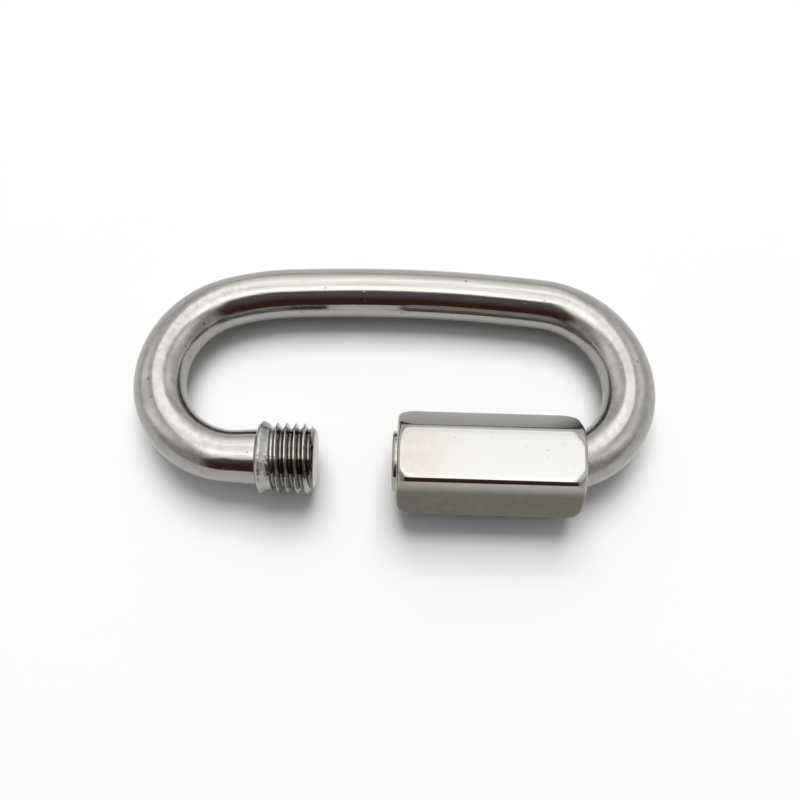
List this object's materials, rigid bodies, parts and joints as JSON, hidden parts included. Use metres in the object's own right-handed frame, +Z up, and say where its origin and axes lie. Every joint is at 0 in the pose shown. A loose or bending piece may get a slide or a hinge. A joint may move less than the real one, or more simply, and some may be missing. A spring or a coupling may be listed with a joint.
{
  "type": "chain quick link",
  "caption": "Oval quick link bent from round steel rod, with threaded ends and a hex sleeve nut that winds along them to open and close its mouth.",
  "frame": {"origin": "bottom centre of the part's box, on the surface that the link lies on", "axes": "+X along the nut and the link's length, +Y from the nut to the back bar, +Z up from the surface"},
  "size_m": [0.074, 0.0366, 0.0127],
  "materials": {
    "rod_steel": "tumbled and polished stainless steel",
    "nut_steel": "polished stainless steel"
  },
  "bodies": {
    "link": {"link_body": "rod_steel"},
    "nut": {"sleeve_nut": "nut_steel"}
  },
  "joints": [
    {"name": "nut_run", "type": "slide", "parent": "link", "child": "nut", "axis": [-1, 0, 0], "range_m": [0, 0.01625]}
  ]
}
